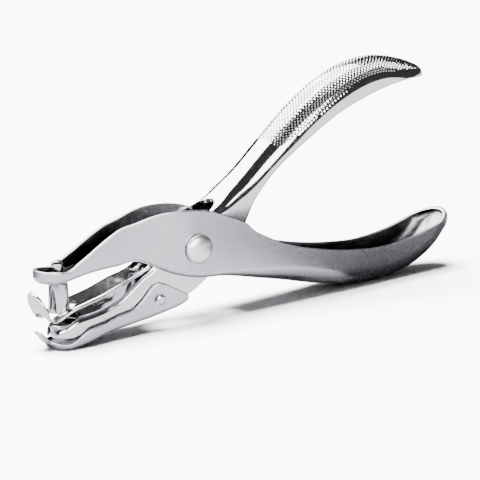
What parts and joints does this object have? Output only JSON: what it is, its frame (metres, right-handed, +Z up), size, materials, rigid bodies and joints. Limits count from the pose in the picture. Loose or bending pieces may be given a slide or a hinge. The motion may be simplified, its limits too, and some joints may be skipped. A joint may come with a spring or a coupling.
{
  "type": "hole punch",
  "caption": "Plier-type hand punch for one round hole: crossed pressed-steel levers on a rivet, pin over a die, stripper strip, return spring and swing-open chip tray.",
  "frame": {"origin": "on the surface the punch stands on, under the middle of its bounding box", "axes": "X along the punch, jaws towards -X and handles towards +X; Y across it, along the rivet and both hinge axes; Z up from the surface it stands on, lower handle and chip tray down"},
  "size_m": [0.1478, 0.0204, 0.0683],
  "materials": {
    "satin_nickel": "satin nickel plate on pressed steel",
    "bright_chrome": "polished bright plate on pressed steel and rivets",
    "hard_steel": "hardened and ground steel, bright",
    "spring_steel": "drawn spring wire, plated"
  },
  "bodies": {
    "outer": {"outer_lever": "satin_nickel", "pivot_rivet": "bright_chrome", "punch_pin": "hard_steel"},
    "inner": {"inner_lever": "bright_chrome", "die_bush": "hard_steel", "stripper_strip": "bright_chrome", "stripper_rivet": "bright_chrome", "return_spring": "spring_steel", "tray_hinge_pin_left": "bright_chrome", "tray_hinge_pin_right": "bright_chrome"},
    "tray": {"chip_tray": "satin_nickel"}
  },
  "joints": [
    {"name": "squeeze", "type": "hinge", "parent": "outer", "child": "inner", "pos_m": [-0.02495, 0, 0.02147], "axis": [0, 1, 0], "range_deg": [0, 7], "stiffness_Nm_per_rad": 1.7, "springref_deg": -10.08, "deforming": ["return_spring"]},
    {"name": "tray_swing", "type": "hinge", "parent": "inner", "child": "tray", "pos_m": [-0.03732, 0, 0.0089], "axis": [0, 1, 0], "range_deg": [-30, 0]}
  ]
}
